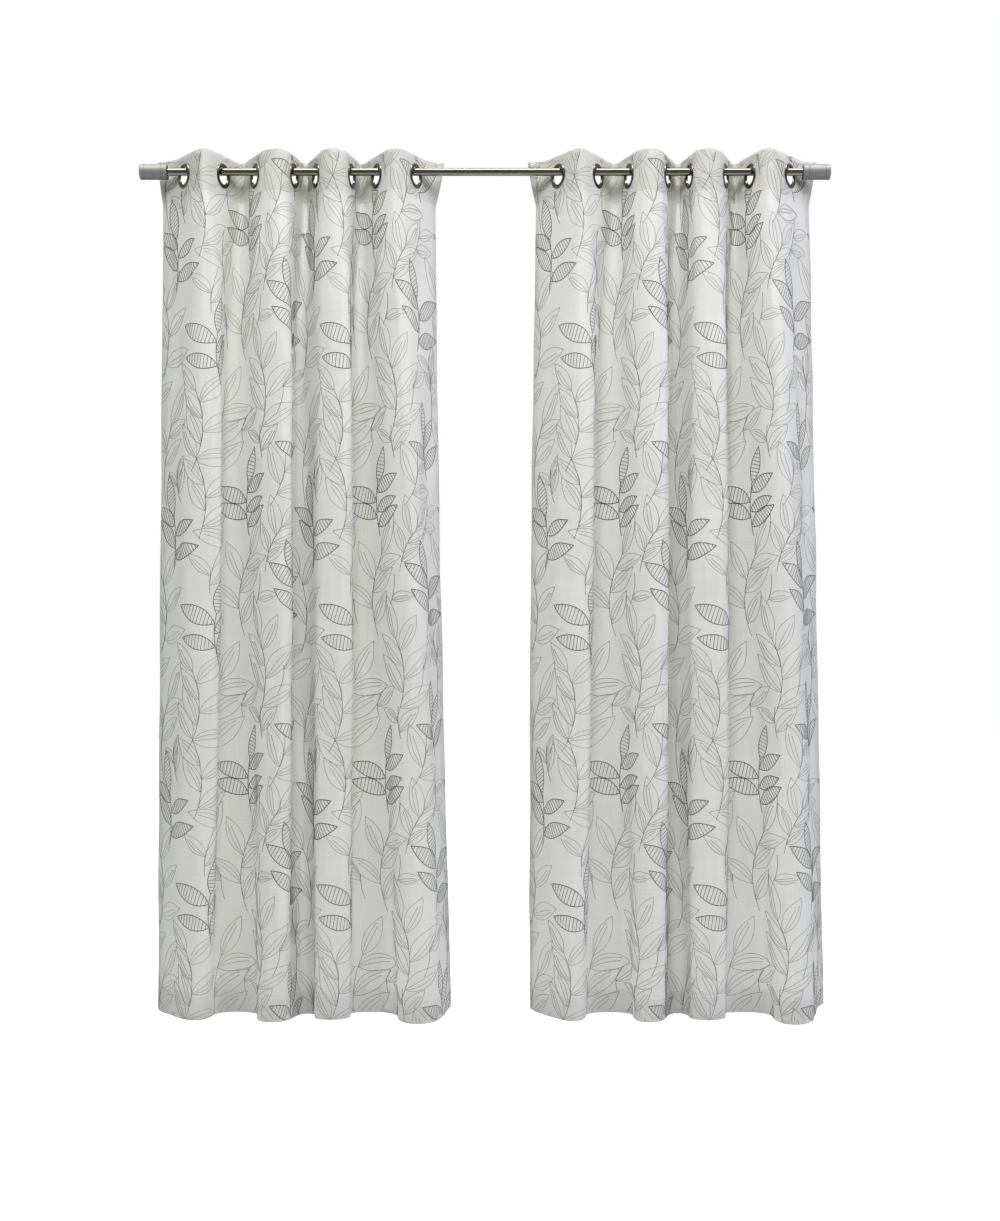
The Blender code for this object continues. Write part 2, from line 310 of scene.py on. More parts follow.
def plan_section(folds, ends, drop):
    """The sheet in plan this far down: the cloth to the left of each point, and the points."""
    found = crossings(folds, drop)
    flat = between(FLAT_HEADING, FLAT_MIDDLE, FLAT_HEM, share_below_neck(drop))
    margin = free_margin(*found[0], -1, end_angle(ends[0], drop))[::-1]
    places = [margin]
    cloth = [walked(margin)]
    for number, (one, other) in enumerate(zip(found, found[1:])):
        start, end = one[0] + one[1] * flat, other[0] - other[1] * flat
        curve = bend(start, one[1], end, other[1], PITCH - 2 * flat)
        places.append(curve)
        cloth.append(SIDE_MARGIN + number * PITCH + flat + walked(curve))
    margin = free_margin(*found[-1], 1, end_angle(ends[1], drop))
    places.append(margin)
    cloth.append(PANEL_WIDTH - SIDE_MARGIN + FLAT_HEADING + walked(margin))
    return np.concatenate(cloth), np.concatenate(places)


def eased(values, position):
    """Values between the listed ones at positions of 0 to 1, with soft turns at each."""
    place = np.clip(position, 0, 1) * (len(values) - 1)
    index = np.minimum(place.astype(int), len(values) - 2)
    turn = (1 - np.cos(math.pi * (place - index))) / 2
    values = np.array(values, float)
    return values[index] + (values[index + 1] - values[index]) * turn


def ramp(low, high, value):
    share = np.clip((value - low) / (high - low), 0, 1)
    return share * share * (3 - 2 * share)


def eyelet_centres():
    return [SIDE_MARGIN + number * PITCH for number in range(EYELET_COUNT)]


def eyelet_distance(u, v):
    """How far a spot on the cloth is from the nearest eyelet's centre."""
    gaps = [np.hypot(u - centre, v - EYELET_V) for centre in eyelet_centres()]
    return np.min(gaps, axis=0)


def relief(creases, seed, u, v):
    """How far the cloth stands in front of the smooth folds, in mm."""
    height = np.zeros_like(u)
    for crease in creases:
        share = (v - crease.v_top) / (crease.v_low - crease.v_top)
        middle = crease.u_top + (crease.u_low - crease.u_top) * share
        across = np.exp(-(((u - middle) / crease.width) ** 2))
        height += crease.height * across * ramp(0, 0.18, share) * (1 - ramp(0.6, 1, share))
    draw = random.Random(seed)
    for _ in range(RIPPLE_COUNT):
        wide, tall = draw.uniform(*RIPPLE_WIDTHS), draw.uniform(*RIPPLE_LENGTHS)
        turn, lean = draw.uniform(0, 2 * math.pi), draw.choice((-1, 1))
        phase = 2 * math.pi * (u / wide + lean * v / tall) + turn
        height += RIPPLE_HEIGHT * np.sin(phase)
    for line in (HEADING_DEPTH, PANEL_LENGTH - BOTTOM_HEM):
        gather = np.sin(2 * math.pi * u / PUCKER_PITCH + 1.7 * np.sin(u / 61))
        height += HEM_PUCKER * gather * np.exp(-(((v - line) / PUCKER_REACH) ** 2))
    return height * ramp(*RELIEF_CLEAR, eyelet_distance(u, v))


class Cloth:
    """A panel's surface: u and v in, a place and the direction towards its viewer side out."""

    def __init__(self, folds, ends, hem_lift, creases, seed):
        self.u = np.linspace(0, PANEL_WIDTH, COLUMNS + 1)
        hem = PANEL_LENGTH - BOTTOM_HEM
        self.v = np.concatenate(
            (
                np.linspace(0, HEADING_DEPTH, HEADING_ROWS + 1)[:-1],
                np.linspace(HEADING_DEPTH, hem, BODY_ROWS + 1)[:-1],
                np.linspace(hem, PANEL_LENGTH, HEM_ROWS + 1),
            )
        )
        rows = []
        for drop in self.v:
            cloth, places = plan_section(folds, ends, drop)
            x = np.interp(self.u, cloth, places[:, 0])
            y = np.interp(self.u, cloth, places[:, 1])
            lift = eased(hem_lift, self.u / PANEL_WIDTH) * (drop / PANEL_LENGTH) ** 3
            rows.append(np.stack((x, y, TOP_Z - drop + lift), axis=1))
        places = np.array(rows)
        u, v = np.meshgrid(self.u, self.v)
        stand = relief(creases, seed, u, v)[:, :, None]
        self.places = places + self.facing_of(places) * stand
        self.facing = self.facing_of(self.places)

    def facing_of(self, places):
        across = np.gradient(places, self.u, axis=1)
        down = np.gradient(places, self.v, axis=0)
        facing = np.cross(down, across)
        return facing / np.linalg.norm(facing, axis=2, keepdims=True)

    def at(self, u, v):
        """Places and facings at spots on the cloth. Past an edge the cloth runs straight on."""
        column = np.clip(np.searchsorted(self.u, u, side="right") - 1, 0, len(self.u) - 2)
        row = np.clip(np.searchsorted(self.v, v, side="right") - 1, 0, len(self.v) - 2)
        s = ((u - self.u[column]) / (self.u[column + 1] - self.u[column]))[..., None]
        t = ((v - self.v[row]) / (self.v[row + 1] - self.v[row]))[..., None]
        found = []
        for grid in (self.places, self.facing):
            upper = grid[row, column] * (1 - s) + grid[row, column + 1] * s
            lower = grid[row + 1, column] * (1 - s) + grid[row + 1, column + 1] * s
            found.append(upper * (1 - t) + lower * t)
        return found


def add_mesh(name, vertices, faces, look):
    mesh = bpy.data.meshes.new(name)
    mesh.from_pydata(vertices, [], faces)
    mesh.shade_smooth()
    mesh.materials.append(look)
    made = bpy.data.objects.new(name, mesh)
    bpy.context.scene.collection.objects.link(made)
    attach(made, "root")
    return made


def turned_over(values, low_hem, high_hem):
    """Positions along the cut cloth, hems included, and which of them lie on a turned hem."""
    first, last = values[0], values[-1]
    low = values[(values > first) & (values < first + low_hem)]
    high = values[(values < last) & (values > last - high_hem)]
    before = np.concatenate(([first + low_hem], low[::-1], [first, first - FOLD_REACH]))
    after = np.concatenate(([last + FOLD_REACH, last], high[::-1], [last - high_hem]))
    places = np.concatenate((before, values, after))
    turned = np.zeros(len(places))
    turned[: len(before)] = 1
    turned[len(before) + len(values) :] = 1
    turned[len(before) - 1] = turned[len(before) + len(values)] = 0.5  # on the fold itself
    return places, turned


def layer_height(u, side, top):
    """Where a layer lies, from the viewer's side back, by which hems it is turned in."""
    near_side = 1 - ramp(SIDE_HEM, SIDE_HEM + 15, np.minimum(u, PANEL_WIDTH - u))
    turned_main = -LAYER_STEP - 2 * CORNER_STEP * near_side
    turned_side = -LAYER_STEP - CORNER_STEP
    front = LAYER_STEP * (1 - 2 * side)
    back = turned_main * (1 - side) + turned_side * side
    return front * (1 - top) + back * top


def round_holes(u, v):
    """Moves the spots round each eyelet's hole onto its rim, and says which spots are lost."""
    lost = np.zeros(u.shape, bool)
    for centre in eyelet_centres():
        away = np.hypot(u - centre, v - EYELET_V)
        lost |= away < HOLE_RADIUS
    near = np.zeros(u.shape, bool)
    for dr in (-1, 0, 1):
        for dc in (-1, 0, 1):
            near |= np.roll(np.roll(lost, dr, axis=0), dc, axis=1)
    rim = near & ~lost
    for centre in eyelet_centres():
        away = np.hypot(u - centre, v - EYELET_V)
        mine = rim & (away < EYELET_OUTER + 12)
        shrink = np.where(mine, HOLE_RADIUS / np.maximum(away, 1), 1)
        u = centre + (u - centre) * shrink
        v = EYELET_V + (v - EYELET_V) * shrink
    return u, v, lost


def add_panel(side, cloth, look):
    """The whole cut cloth as one closed sheet, its four hems turned to the back."""
    us, side_turned = turned_over(cloth.u, SIDE_HEM, SIDE_HEM)
    vs, top_turned = turned_over(cloth.v, HEADING_DEPTH, BOTTOM_HEM)
    u, v = np.meshgrid(us, vs)
    height = layer_height(u, *np.meshgrid(side_turned, top_turned))
    u, v, lost = round_holes(u, v)
    places, facing = cloth.at(u, v)
    places = (places + facing * height[:, :, None]) * MM
    keep = ~lost
    number = np.cumsum(keep.ravel()).reshape(keep.shape) - 1
    whole = keep[:-1, :-1] & keep[1:, :-1] & keep[1:, 1:] & keep[:-1, 1:]
    corners = (number[:-1, :-1], number[1:, :-1], number[1:, 1:], number[:-1, 1:])
    faces = np.stack([corner[whole] for corner in corners], axis=1)
    panel = add_mesh(f"voile_{side}", places[keep].tolist(), faces.tolist(), look)
    spots = np.stack((u[keep], v[keep]), axis=1) * MM
    loops = np.zeros(len(panel.data.loops), int)
    panel.data.loops.foreach_get("vertex_index", loops)
    panel.data.uv_layers.new(name="cloth").data.foreach_set("uv", spots[loops].ravel())
    thickness = panel.modifiers.new("thickness", "SOLIDIFY")
    thickness.thickness = CLOTH_THICK * MM
    thickness.offset = 0
    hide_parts(f"curtain_{side}")
    return panel


# ---- Threads laid on the cloth


def unit(vectors):
    return vectors / np.maximum(np.linalg.norm(vectors, axis=1, keepdims=True), 1e-9)


def bent_with_cloth(spots, columns):
    """The line with one more spot wherever it crosses a column of the cloth's mesh."""
    run = walked(spots)
    found = [run]
    for number, (start, end) in enumerate(zip(spots[:-1, 0], spots[1:, 0])):
        low, high = min(start, end) + COLUMN_CLEAR, max(start, end) - COLUMN_CLEAR
        crossed = columns[(columns > low) & (columns < high)]
        share = (crossed - start) / (end - start) if len(crossed) else crossed
        found.append(run[number] + share * (run[number + 1] - run[number]))
    places = np.sort(np.concatenate(found))
    return np.stack([np.interp(places, run, spots[:, axis]) for axis in (0, 1)], axis=1)


def add_threads(name, cloth, lines, height, rise, look):
    """Each line of (u, v) spots becomes a thread, flat on the viewer's side of the cloth."""
    vertices, faces, base = [], [], 0
    for line in lines:
        spots = bent_with_cloth(line.spots, cloth.u)
        places, facing = cloth.at(spots[:, 0], spots[:, 1])
        places = places + facing * rise
        along = unit(np.gradient(places, axis=0))
        across = unit(np.cross(facing, along)) * line.width / 2
        up = facing * height / 2
        rings = np.stack(
            (places + across + up * THREAD_RISE, places - across + up * THREAD_RISE, places - up),
            axis=1,
        )
        vertices.append(rings.reshape(-1, 3))
        count = len(spots)
        start = base + 3 * np.arange(count - 1)
        for corner in range(3):
            after = (corner + 1) % 3
            upper, lower = (start + corner, start + after), (start + 3 + after, start + 3 + corner)
            faces.extend(np.stack(upper + lower, axis=1).tolist())
        last = base + 3 * (count - 1)
        faces.append((base + 2, base + 1, base))
        faces.append((last, last + 1, last + 2))
        base += 3 * count
    vertices = np.concatenate(vertices) * MM
    return add_mesh(name, vertices.tolist(), faces, look)


Line = namedtuple("Line", "spots width thread")


def on_cloth(line, shift):
    """The stretches of a shifted line that lie on the panel and clear of its eyelets."""
    spots = line.spots + shift
    u, v = spots[:, 0], spots[:, 1]
    inside = (u > 1) & (u < PANEL_WIDTH - 1) & (v > 1) & (v < PANEL_LENGTH - 1)
    inside &= eyelet_distance(u, v) > THREAD_CLEAR
    breaks = np.flatnonzero(np.diff(inside.astype(int))) + 1
    runs = np.split(np.arange(len(spots)), breaks)
    return [line._replace(spots=spots[run]) for run in runs if inside[run[0]] and len(run) > 1]


def heading_step(degrees):
    """One millimetre on the cloth in a direction given from straight up, turning right."""
    angle = math.radians(degrees)
    return np.array((math.sin(angle), -math.cos(angle)))


Leaf = namedtuple("Leaf", "foot lean length curl kind mark")


def leaf_rib(leaf, share):
    """Spots along the leaf's middle, from its foot to its tip."""
    along, right = heading_step(leaf.lean), heading_step(leaf.lean + 90)
    return leaf.foot + (along * share + right * leaf.curl * share * share) * leaf.length


def leaf_reach(leaf, share):
    """Half the leaf's width there, at its fullest a little below the middle."""
    half = leaf.length * LEAF_WIDTH_SHARE / 2
    return half * 4 * share * (1 - share) * (1.18 - 0.36 * share)


class Ground:
    """The room that leaves take up in the unit, as discs that repeat with it."""

    def __init__(self):
        self.spots = np.zeros((0, 2))
        self.radii = np.zeros(0)

    def free(self, spots, radii):
        gaps = spots[:, None] - self.spots
        gaps -= UNIT * np.round(gaps / UNIT)
        needed = (radii[:, None] + self.radii) * CROWDING
        return bool(np.all(np.linalg.norm(gaps, axis=2) > needed))

    def take(self, spots, radii):
        self.spots = np.concatenate((self.spots, spots))
        self.radii = np.concatenate((self.radii, radii))


def leaf_lines(leaf):
    """The lines that draw one pointed leaf."""
    t = np.linspace(0, 1, LEAF_STEPS + 1)[:, None]
    along, right = heading_step(leaf.lean), heading_step(leaf.lean + 90)
    sides = [leaf_rib(leaf, t) + right * leaf_reach(leaf, t) * way for way in (-1, 1)]
    if leaf.kind == PLAIN:
        inner = 0.08 + 0.72 * t[::2]
        offset = right * leaf_reach(leaf, inner) * 0.5 * leaf.mark
        veins = [leaf_rib(leaf, 0.74 * t[::2]), leaf_rib(leaf, inner) + offset]
        return [Line(spots, PLAIN_WIDTH, PALE) for spots in sides + veins]
    lines = [Line(spots, LADDER_WIDTH, DARK) for spots in sides]
    rungs = int(leaf.length / RUNG_PITCH)
    for number in range(1, rungs):
        share = number / rungs
        reach = leaf_reach(leaf, share)
        across = np.array((-reach, 0, reach))[:, None]
        rung = leaf_rib(leaf, share) + (right + along * RUNG_SLOPE) * across
        lines.append(Line(rung, RUNG_WIDTH, DARK))
    return lines


def grown_stem(sprig, ground):
    """The stem's spots and its lean at each, as far as it runs clear of the leaves there are."""
    steps = round(sprig.length / STEM_STEP)
    spot = np.array((sprig.u, sprig.v), float)
    stem, leans = [spot], [sprig.lean]
    for step in range(steps):
        lean = sprig.lean + sprig.bow * (step + 0.5) / steps
        spot = spot + heading_step(lean) * sprig.length / steps
        if step > 1 and not ground.free(spot[None], np.ones(1)):
            break
        stem.append(spot)
        leans.append(lean)
    return stem, leans


def grown_leaf(sprig, foot, lean, side, draw, ground):
    """A leaf that finds room, turned or shortened a little for it, or None."""
    share = np.linspace(0.14, 0.92, 7)[:, None]
    for attempt in range(LEAF_TRIES):
        turned_lean = lean + draw.uniform(-14, 14)
        length = sprig.leaf * (draw.uniform(0.86, 1.1) - 0.03 * attempt)
        curl, mark = side * draw.uniform(0.02, 0.12), draw.choice((-1, 1))
        leaf = Leaf(foot, turned_lean, length, curl, sprig.kind, mark)
        spots, radii = leaf_rib(leaf, share), leaf_reach(leaf, share)[:, 0]
        if ground.free(spots, radii):
            ground.take(spots, radii)
            return leaf
    return None


def sprig_lines(sprig, draw, ground):
    """A stem with leaves to its left and right by turns and one at its tip."""
    stem, leans = grown_stem(sprig, ground)
    steps = round(sprig.length / STEM_STEP)
    spread = PLAIN_SPREAD if sprig.kind == PLAIN else LADDER_SPREAD
    lines = []
    for number in range(1, sprig.leaves + 1):
        tip = number == sprig.leaves
        side = 1 if number % 2 == 1 else -1
        at = len(stem) - 1 if tip else round(number / sprig.leaves * steps)
        if at < len(stem):
            lean = leans[at] + (0 if tip else side * spread)
            leaf = grown_leaf(sprig, stem[at], lean, side, draw, ground)
            lines += leaf_lines(leaf) if leaf else []
    if lines:
        width = STEM_WIDTH if sprig.kind == PLAIN else LADDER_WIDTH
        lines.append(Line(np.array(stem), width, DARK))
    return lines


def embroidery(seed):
    """The lines worked in each thread over a whole panel, cut off at its edges."""
    draw, ground = random.Random(seed), Ground()
    drawn = [line for sprig in SPRIGS for line in sprig_lines(sprig, draw, ground)]
    worked = {PALE: [], DARK: []}
    for across in range(-1, 3):
        for down in range(-1, 4):
            for line in drawn:
                worked[line.thread] += on_cloth(line, UNIT * (across, down))
    return worked


def stitches():
    """The dashes of the stitching that holds the four hems."""
    seams = (
        ((SIDE_HEM - 3, 4), (SIDE_HEM - 3, PANEL_LENGTH - 4)),
        ((PANEL_WIDTH - SIDE_HEM + 3, 4), (PANEL_WIDTH - SIDE_HEM + 3, PANEL_LENGTH - 4)),
        ((4, HEADING_DEPTH - 3), (PANEL_WIDTH - 4, HEADING_DEPTH - 3)),
        ((4, PANEL_LENGTH - BOTTOM_HEM + 3), (PANEL_WIDTH - 4, PANEL_LENGTH - BOTTOM_HEM + 3)),
    )
    lines = []
    for start, end in seams:
        start, end = np.array(start, float), np.array(end, float)
        length = np.linalg.norm(end - start)
        direction = (end - start) / length
        for number in range(int(length / STITCH_PITCH)):
            first = start + direction * STITCH_PITCH * number
            ends = np.array((first, first + direction * STITCH_LENGTH))
            lines.append(Line(ends, STITCH_WIDTH, SEWING))
    return lines


# ---- Metal pieces


def turned(name, outline, steps, look, slot, node, place, closed=False):
    """A profile of (radius, height) in mm, turned about local Z and set in place."""
    edges = [(i, i + 1) for i in range(len(outline) - 1)]
    if closed:
        edges.append((len(outline) - 1, 0))
    mesh = bpy.data.meshes.new(name)
    mesh.from_pydata([(r * MM, 0, h * MM) for r, h in outline], edges, [])
    mesh.materials.append(look)
    made = bpy.data.objects.new(name, mesh)
    bpy.context.scene.collection.objects.link(made)
    screw = made.modifiers.new("turned", "SCREW")
    screw.steps = screw.render_steps = steps
    screw.use_merge_vertices = True
    screw.merge_threshold = 0.00001
    screw.use_smooth_shade = True
    made.matrix_world = place
    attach(made, "root")
    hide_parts(node)
    return made


def dome(outer, inner, low, high, points=9):
    """A rounded ring face from its outer edge over its crown to its bore."""
    found = []
    for number in range(points):
        angle = math.pi * number / (points - 1)
        radius = (outer + inner) / 2 + (outer - inner) / 2 * math.cos(angle)
        found.append((radius, low + (high - low) * math.sin(angle) ** 0.8))
    return found


def eyelet_outline():
    """A front ring with a rounded face and a back ring with a flatter one, the slot between."""
    groove = EYELET_GROOVE
    front = dome(EYELET_OUTER, EYELET_BORE, groove + 0.5, 3.3)
    back = dome(EYELET_OUTER - 0.4, EYELET_BORE, groove + 0.5, 2.7)[::-1]
    back = [(radius, -height) for radius, height in back]
    slot = [
        (EYELET_OUTER - 0.4, -groove),
        (EYELET_BARREL, -groove),
        (EYELET_BARREL, groove),
        (EYELET_OUTER, groove),
    ]
    return front + back + slot


def eyelet_place(crossing):
    """Local Z out of the cloth's viewer side, local Y up, at the eyelet's centre."""
    along = crossing[1]
    normal = Vector((along[1], -along[0], 0)).normalized()
    sideways = Vector((0, 0, 1)).cross(normal)
    turn = Matrix((sideways, (0, 0, 1), normal)).transposed().to_4x4()
    return Matrix.Translation((crossing[0][0] * MM, crossing[0][1] * MM, EYELET_Z * MM)) @ turn


def finial_outline():
    """A cylinder with a collar and an end band, each set off by a fine turned groove."""
    end = FINIAL_LENGTH
    outline = [(0, end), (FINIAL_RADIUS - 3.2, end), (FINIAL_RADIUS - 1.6, end - 0.2)]
    outline += [(FINIAL_RADIUS - 0.5, end - 0.9)]
    outline += [(FINIAL_RADIUS, end - 2), (FINIAL_RADIUS, end - 3)]
    for mark in (end - 12, 13):
        outline += [
            (FINIAL_RADIUS, mark + 1.5),
            (FINIAL_RADIUS, mark + 1.1),
            (FINIAL_RADIUS - 0.25, mark + 0.7),
            (FINIAL_RADIUS - 1.1, mark + 0.45),
            (FINIAL_RADIUS - 1.1, mark - 0.45),
            (FINIAL_RADIUS - 0.25, mark - 0.7),
            (FINIAL_RADIUS, mark - 1.1),
            (FINIAL_RADIUS, mark - 1.5),
        ]
    outline += [(FINIAL_RADIUS, 2.0), (FINIAL_RADIUS, 1.4)]
    outline += [(FINIAL_RADIUS - 0.4, 0.4), (FINIAL_RADIUS - 1.4, 0)]
    outline += [(SOCKET_RADIUS + 0.8, 0), (SOCKET_RADIUS, 0.8)]
    return outline + [(SOCKET_RADIUS, SOCKET_DEPTH + 0.3), (0, SOCKET_DEPTH + 0.3)]


def rod_outline():
    """A tube with its ends rolled in, which the finials' sockets hide."""
    end, wall = ROD_LENGTH / 2, 1.2
    return [
        (ROD_RADIUS - 0.4, end),
        (ROD_RADIUS, end - 0.4),
        (ROD_RADIUS, end - 1.4),  # the smooth shading turns here, and not along the whole rod
        (ROD_RADIUS, -end + 1.4),
        (ROD_RADIUS, -end + 0.4),
        (ROD_RADIUS - 0.4, -end),
        (ROD_RADIUS - wall, -end),
        (ROD_RADIUS - wall, end),
    ]


# ---- Materials

MIX_SHARE, MIX_A, MIX_B, MIX_RESULT = 0, 6, 7, 2  # the sockets of a mix of two colours


class Look:
    """A material under construction, with short calls for its nodes and links."""

    def __init__(self, name, colour, roughness, metallic=0.0):
        self.material = bpy.data.materials.new(name)
        self.material.use_nodes = True
        self.tree = self.material.node_tree
        self.shader = self.tree.nodes["Principled BSDF"]
        self.set(self.shader, {"Base Color": (*colour, 1), "Roughness": roughness})
        self.set(self.shader, {"Metallic": metallic})
        self.material.diffuse_color = (*colour, 1)

    def set(self, node, values):
        for socket, value in values.items():
            node.inputs[socket].default_value = value

    def add(self, kind, values=None, **settings):
        node = self.tree.nodes.new(kind)
        for name, value in settings.items():
            setattr(node, name, value)
        self.set(node, values or {})
        return node

    def link(self, source, target, socket, output=0):
        self.tree.links.new(source.outputs[output], target.inputs[socket])

    def stretched(self, source, scale):
        """Coordinates pulled out by a factor along each axis."""
        node = self.add("ShaderNodeMapping", {"Scale": scale})
        self.link(source, node, "Vector", "UV" if "UV" in source.outputs else "Object")
        return node

    def noise(self, vector, scale, detail=3.0, roughness=0.5):
        settings = {"Scale": scale, "Detail": detail, "Roughness": roughness}
        node = self.add("ShaderNodeTexNoise", settings)
        self.link(vector, node, "Vector")
        return node

    def math(self, operation, one, other):
        """One node's result joined to another's, or to a number."""
        node = self.add("ShaderNodeMath", operation=operation)
        for socket, value in enumerate((one, other)):
            if isinstance(value, (int, float)):
                node.inputs[socket].default_value = value
            else:
                self.link(value, node, socket)
        return node

    def range(self, source, low, high, new_low, new_high):
        values = {"From Min": low, "From Max": high, "To Min": new_low, "To Max": new_high}
        node = self.add("ShaderNodeMapRange", values)
        self.link(source, node, "Value")
        return node

    def tint(self, factor, one, other):
        """A colour between two by the factor, into the base colour."""
        node = self.add("ShaderNodeMix", data_type="RGBA")
        node.inputs[MIX_A].default_value = (*one, 1)
        node.inputs[MIX_B].default_value = (*other, 1)
        self.link(factor, node, MIX_SHARE)
        self.link(node, self.shader, "Base Color", MIX_RESULT)
        return node

    def bump(self, height, strength, distance):
        node = self.add("ShaderNodeBump", {"Strength": strength, "Distance": distance})
        self.link(height, node, "Height")
        self.link(node, self.shader, "Normal")
        return node


def voile_look():
    """Plain weave of fine threads, with thicker and thinner ones running both ways."""
    look = Look("voile", (0.78, 0.78, 0.775), 0.85)
    look.set(look.shader, {"Alpha": 0.8, "Sheen Weight": 0.1, "Sheen Roughness": 0.5})
    look.set(look.shader, {"Subsurface Weight": 1.0, "Subsurface Scale": 0.004})
    look.set(look.shader, {"Subsurface Radius": (1, 1, 1)})
    look.set(look.shader, {"Specular IOR Level": 0.25})
    spot = look.add("ShaderNodeUVMap", uv_map="cloth")
    warp = look.noise(look.stretched(spot, (420, 9, 1)), 1.0, 3, 0.6)
    weft = look.noise(look.stretched(spot, (9, 420, 1)), 1.0, 3, 0.6)
    cloud = look.noise(look.stretched(spot, (7, 5, 1)), 1.0, 2)
    slubs = look.math("ADD", warp, weft)
    tone = look.math("ADD", look.math("MULTIPLY", slubs, 0.4), look.math("MULTIPLY", cloud, 0.2))
    cloth = look.tint(look.range(tone, 0.3, 0.7, 0, 1), (0.60, 0.605, 0.59), (0.70, 0.70, 0.69))
    # the heading, of two stiffened layers, is tinted a little darker and yellower: partly the
    # layers' own tone, partly painted olive shade of the folds round the rod
    down = look.add("ShaderNodeSeparateXYZ")
    look.link(spot, down, "Vector")
    edge = {"From Min": (HEADING_DEPTH - 3) * MM, "From Max": HEADING_DEPTH * MM}
    heading = look.add("ShaderNodeMapRange", {**edge, "To Min": 1, "To Max": 0})
    look.link(down, heading, "Value", "Y")
    stiffened_and_shaded = look.add("ShaderNodeMix", data_type="RGBA", blend_type="MULTIPLY")
    stiffened_and_shaded.inputs[MIX_B].default_value = (0.91, 0.92, 0.85, 1)
    look.link(cloth, stiffened_and_shaded, MIX_A, MIX_RESULT)
    look.link(heading, stiffened_and_shaded, MIX_SHARE)
    look.link(stiffened_and_shaded, look.shader, "Base Color", MIX_RESULT)
    look.link(look.range(slubs, 0.7, 1.3, 0.92, 0.78), look.shader, "Roughness")
    threads = []
    for direction in ("X", "Y"):
        wave = look.add("ShaderNodeTexWave", {"Scale": 220.0}, bands_direction=direction)
        look.link(spot, wave, "Vector")
        threads.append(wave)
    weave = look.math("MULTIPLY", look.math("ADD", *threads), 0.12)
    look.bump(look.math("ADD", slubs, weave), 0.35, 0.0004)
    return look.material


def thread_look(name, dark, light):
    """Twisted embroidery thread with a slight change of tone along it."""
    look = Look(name, dark, 0.6)
    look.set(look.shader, {"Sheen Weight": 0.15})
    place = look.add("ShaderNodeTexCoord")
    tone = look.noise(look.stretched(place, (1, 1, 1)), 55, 2)
    twist = look.noise(look.stretched(place, (1, 1, 1)), 1800, 1)
    look.tint(look.range(tone, 0.35, 0.65, 0, 1), dark, light)
    look.bump(twist, 0.3, 0.0003)
    return look.material


def metal_look(name, colour, dull, roughness, streaks, bump, metallic=1.0, specular=0.5):
    """Metal with fine marks drawn out along one axis of the piece."""
    look = Look(name, colour, roughness, metallic)
    look.set(look.shader, {"Specular IOR Level": specular})
    place = look.add("ShaderNodeTexCoord")
    fine = look.noise(look.stretched(place, streaks), 60, 4, 0.6)
    cloud = look.noise(look.stretched(place, (1, 1, 1)), 45, 2)
    look.tint(look.range(cloud, 0.35, 0.7, 0, 1), colour, dull)
    low, high = roughness * 0.75, roughness * 1.35
    look.link(look.range(fine, 0.3, 0.7, low, high), look.shader, "Roughness")
    look.bump(fine, bump, 0.00015)
    return look.material


# ---- Assembly


def dress_metal():
    nickel = metal_look(
        "dark_nickel", (0.15, 0.15, 0.135), (0.11, 0.11, 0.10), 0.26, streaks=(4, 4, 4), bump=0.1
    )
    pewter = metal_look(
        "rod_pewter", (0.13, 0.13, 0.115), (0.10, 0.10, 0.088), 0.09, streaks=(30, 30, 1), bump=0.12
    )
    steel = metal_look(
        "finial_steel",
        (0.165, 0.165, 0.172),
        (0.12, 0.12, 0.126),
        0.6,
        streaks=(2, 2, 40),
        bump=0.3,
        metallic=0.55,
        specular=0.2,
    )
    lengthwise = Matrix.Rotation(math.pi / 2, 4, "Y")
    turned(
        "tube", rod_outline(), ROD_STEPS, pewter, "rod_metal", "rod", lengthwise, closed=True
    )
    inner_end = ROD_LENGTH / 2 - SOCKET_DEPTH
    for name, way in (("left", -1), ("right", 1)):
        place = Matrix.Translation((way * inner_end * MM, 0, 0)) @ Matrix.Rotation(
            way * math.pi / 2, 4, "Y"
        )
        turned(
            f"end_{name}",
            finial_outline(),
            FINIAL_STEPS,
            steel,
            "finial_metal",
            f"finial_{name}",
            place,
        )
    for name, folds in (("left", LEFT_FOLDS), ("right", RIGHT_FOLDS)):
        for number, crossing in enumerate(crossings(folds, 0.0), start=1):
            turned(
                f"ring_{name}_{number}",
                eyelet_outline(),
                EYELET_STEPS,
                nickel,
                "dark_nickel",
                f"eyelet_{name}_{number}",
                eyelet_place(crossing),
                closed=True,
            )


def dress_cloth():
    voile = voile_look()
    pale = thread_look("pale_thread", (0.10, 0.10, 0.095), (0.17, 0.17, 0.16))
    dark = thread_look("dark_thread", (0.013, 0.013, 0.012), (0.032, 0.032, 0.03))
    sewing = thread_look("sewing_thread", (0.60, 0.60, 0.59), (0.68, 0.68, 0.67))
    panels = (
        ("left", LEFT_FOLDS, LEFT_ENDS, LEFT_HEM_LIFT, LEFT_CREASES, LEFT_SEED),
        ("right", RIGHT_FOLDS, RIGHT_ENDS, RIGHT_HEM_LIFT, RIGHT_CREASES, RIGHT_SEED),
    )
    lines, seams = embroidery(EMBROIDERY_SEED), stitches()
    for side, folds, ends, hem_lift, creases, seed in panels:
        cloth = Cloth(folds, ends, hem_lift, creases, seed)
        panel = add_panel(side, cloth, voile)
        worked = [
            add_threads(f"leaves_{side}", cloth, lines[PALE], THREAD_HEIGHT, THREAD_LIFT, pale),
            add_threads(
                f"dark_leaves_{side}", cloth, lines[DARK], THREAD_HEIGHT, THREAD_LIFT, dark
            ),
            add_threads(f"stitching_{side}", cloth, seams, STITCH_HEIGHT, 0, sewing),
        ]


# ---- Studio

